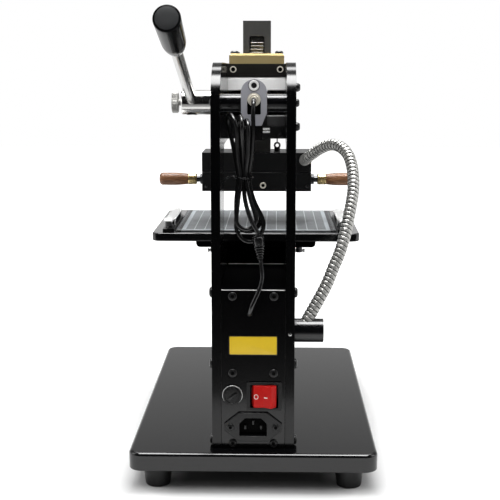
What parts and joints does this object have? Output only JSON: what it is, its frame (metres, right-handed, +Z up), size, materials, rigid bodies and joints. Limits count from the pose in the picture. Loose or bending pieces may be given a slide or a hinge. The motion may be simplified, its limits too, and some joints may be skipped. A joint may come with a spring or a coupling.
{
  "type": "hot foil stamping machine",
  "caption": "Bench hot foil stamping press: a hand lever turns a pinion that drives a toothed ram with a heated die holder down onto a sliding, gridded table.",
  "frame": {"origin": "on the standing surface under the centre of the base plate", "axes": "+Z up, front of the machine towards -Y, +X on the operator's right, where the lever is"},
  "size_m": [0.22, 0.4312, 0.4168],
  "materials": {
    "base_paint": "black semi-gloss powder coat",
    "foot_rubber": "moulded rubber",
    "plate_paint": "black semi-gloss powder coat",
    "cover_paint": "black satin paint",
    "case_plastic": "fine matt",
    "button_plastic": "satin",
    "black_plastic": "satin moulded",
    "rocker_plastic": "glossy translucent red",
    "relay_plastic": "moulded",
    "dark_steel": "blackened",
    "brass": "machined",
    "polished_steel": "polished",
    "bright_steel": "bright drawn",
    "bracket_grey": "satin grey",
    "black_metal": "black oxide",
    "hose_steel": "ribbed stainless strip",
    "knob_plastic": "satin moulded",
    "ram_steel": "dark ground steel",
    "heater_metal": "black anodised",
    "walnut": "oiled, close grain",
    "mat_plastic": "dark, with a light grid",
    "cord_rubber": "smooth black jacket"
  },
  "bodies": {
    "frame": {"base_plate": "base_paint", "base_feet": "foot_rubber", "side_plate_left": "plate_paint", "side_plate_right": "plate_paint", "rear_cover": "cover_paint", "shelf_plate": "cover_paint", "table_bed": "cover_paint", "front_panel": "cover_paint", "controller_case": "case_plastic", "power_inlet": "black_plastic", "fuse_holder": "black_plastic", "switch_bezel": "black_plastic", "power_relay": "relay_plastic", "cross_bars": "dark_steel", "frame_bolts": "dark_steel", "tie_rod": "dark_steel", "upper_block": "dark_steel", "brass_guide": "brass", "slide_bar": "polished_steel", "lower_block": "dark_steel", "head_front_plate": "plate_paint", "shaft_bushes": "brass", "return_spring_left": "bright_steel", "return_spring_right": "bright_steel", "lamp_bracket": "bracket_grey", "lamp_body": "case_plastic", "cord_gland": "bright_steel", "hose_stub": "black_metal", "heater_hose": "hose_steel", "cord_lead": "cord_rubber", "cord_hank": "cord_rubber", "cord_connector": "cord_rubber", "cord_tail": "cord_rubber"},
    "lever": {"pinion_shaft": "polished_steel", "drive_pinion": "bright_steel", "lever_rod": "polished_steel", "lever_knob": "knob_plastic"},
    "thumb": {"thumb_screw": "bright_steel"},
    "ram": {"ram": "ram_steel", "ram_rack": "bright_steel", "heater_block": "heater_metal", "heater_cartridges": "bright_steel", "spring_eyes": "bright_steel"},
    "die": {"die_holder": "heater_metal", "handle_studs": "dark_steel", "handle_ferrules": "brass", "handle_grips": "walnut"},
    "table": {"table_plate": "base_paint", "table_mat": "mat_plastic", "table_slide": "cover_paint", "clamp_bases": "black_metal"},
    "clamp_left": {"clamp_lever_left": "bright_steel"},
    "clamp_right": {"clamp_lever_right": "bright_steel"},
    "lock_left": {"table_lock_left": "dark_steel"},
    "lock_right": {"table_lock_right": "dark_steel"},
    "rocker": {"switch_rocker": "rocker_plastic"},
    "fuse": {"fuse_cap": "black_plastic"},
    "button_set": {"controller_button_set": "button_plastic"},
    "button_down": {"controller_button_down": "button_plastic"},
    "button_up": {"controller_button_up": "button_plastic"}
  },
  "joints": [
    {"name": "lever_turn", "type": "hinge", "parent": "frame", "child": "lever", "pos_m": [0, 0.00875, 0.3363], "axis": [1, 0, 0], "range_deg": [0, 124]},
    {"name": "ram_slide", "type": "slide", "parent": "frame", "child": "ram", "axis": [0, 0, -1], "range_m": [0, 0.024], "stiffness_N_per_m": 500, "springref_m": -0.06, "deforming": ["return_spring_left", "return_spring_right", "heater_hose"]},
    {"name": "die_slide", "type": "slide", "parent": "ram", "child": "die", "axis": [0, -1, 0], "range_m": [0, 0.05]},
    {"name": "table_slide", "type": "slide", "parent": "frame", "child": "table", "axis": [0, -1, 0], "range_m": [0, 0.06]},
    {"name": "thumb_turn", "type": "hinge", "parent": "lever", "child": "thumb", "pos_m": [0.07435, 0.00875, 0.3363], "axis": [1, 0, 0], "continuous": true},
    {"name": "clamp_left_press", "type": "hinge", "parent": "table", "child": "clamp_left", "pos_m": [-0.0845, 0.032, 0.2195], "axis": [-1, 0, 0], "range_deg": [0, 3.5], "stiffness_Nm_per_rad": 0.6, "springref_deg": -11.46},
    {"name": "clamp_right_press", "type": "hinge", "parent": "table", "child": "clamp_right", "pos_m": [0.0845, 0.032, 0.2195], "axis": [-1, 0, 0], "range_deg": [0, 3.5], "stiffness_Nm_per_rad": 0.6, "springref_deg": -11.46},
    {"name": "lock_left_turn", "type": "hinge", "parent": "table", "child": "lock_left", "pos_m": [-0.0425, 0.025, 0.1983], "axis": [0, 0, 1], "continuous": true},
    {"name": "lock_right_turn", "type": "hinge", "parent": "table", "child": "lock_right", "pos_m": [0.0425, 0.025, 0.1983], "axis": [0, 0, 1], "continuous": true},
    {"name": "switch_rock", "type": "hinge", "parent": "frame", "child": "rocker", "pos_m": [-0.0098, 0.165, 0.085], "axis": [0, 0, 1], "range_deg": [0, 24]},
    {"name": "fuse_turn", "type": "hinge", "parent": "frame", "child": "fuse", "pos_m": [0.0182, 0.167, 0.0859], "axis": [0, -1, 0], "range_deg": [0, 90]},
    {"name": "button_set_press", "type": "slide", "parent": "frame", "child": "button_set", "axis": [0, 1, 0], "range_m": [0, 0.001], "stiffness_N_per_m": 300, "springref_m": -0.001},
    {"name": "button_down_press", "type": "slide", "parent": "frame", "child": "button_down", "axis": [0, 1, 0], "range_m": [0, 0.001], "stiffness_N_per_m": 300, "springref_m": -0.001},
    {"name": "button_up_press", "type": "slide", "parent": "frame", "child": "button_up", "axis": [0, 1, 0], "range_m": [0, 0.001], "stiffness_N_per_m": 300, "springref_m": -0.001}
  ],
  "couplings": [
    {"joint": "ram_slide", "follows": "lever_turn", "m_per_rad": 0.011}
  ]
}
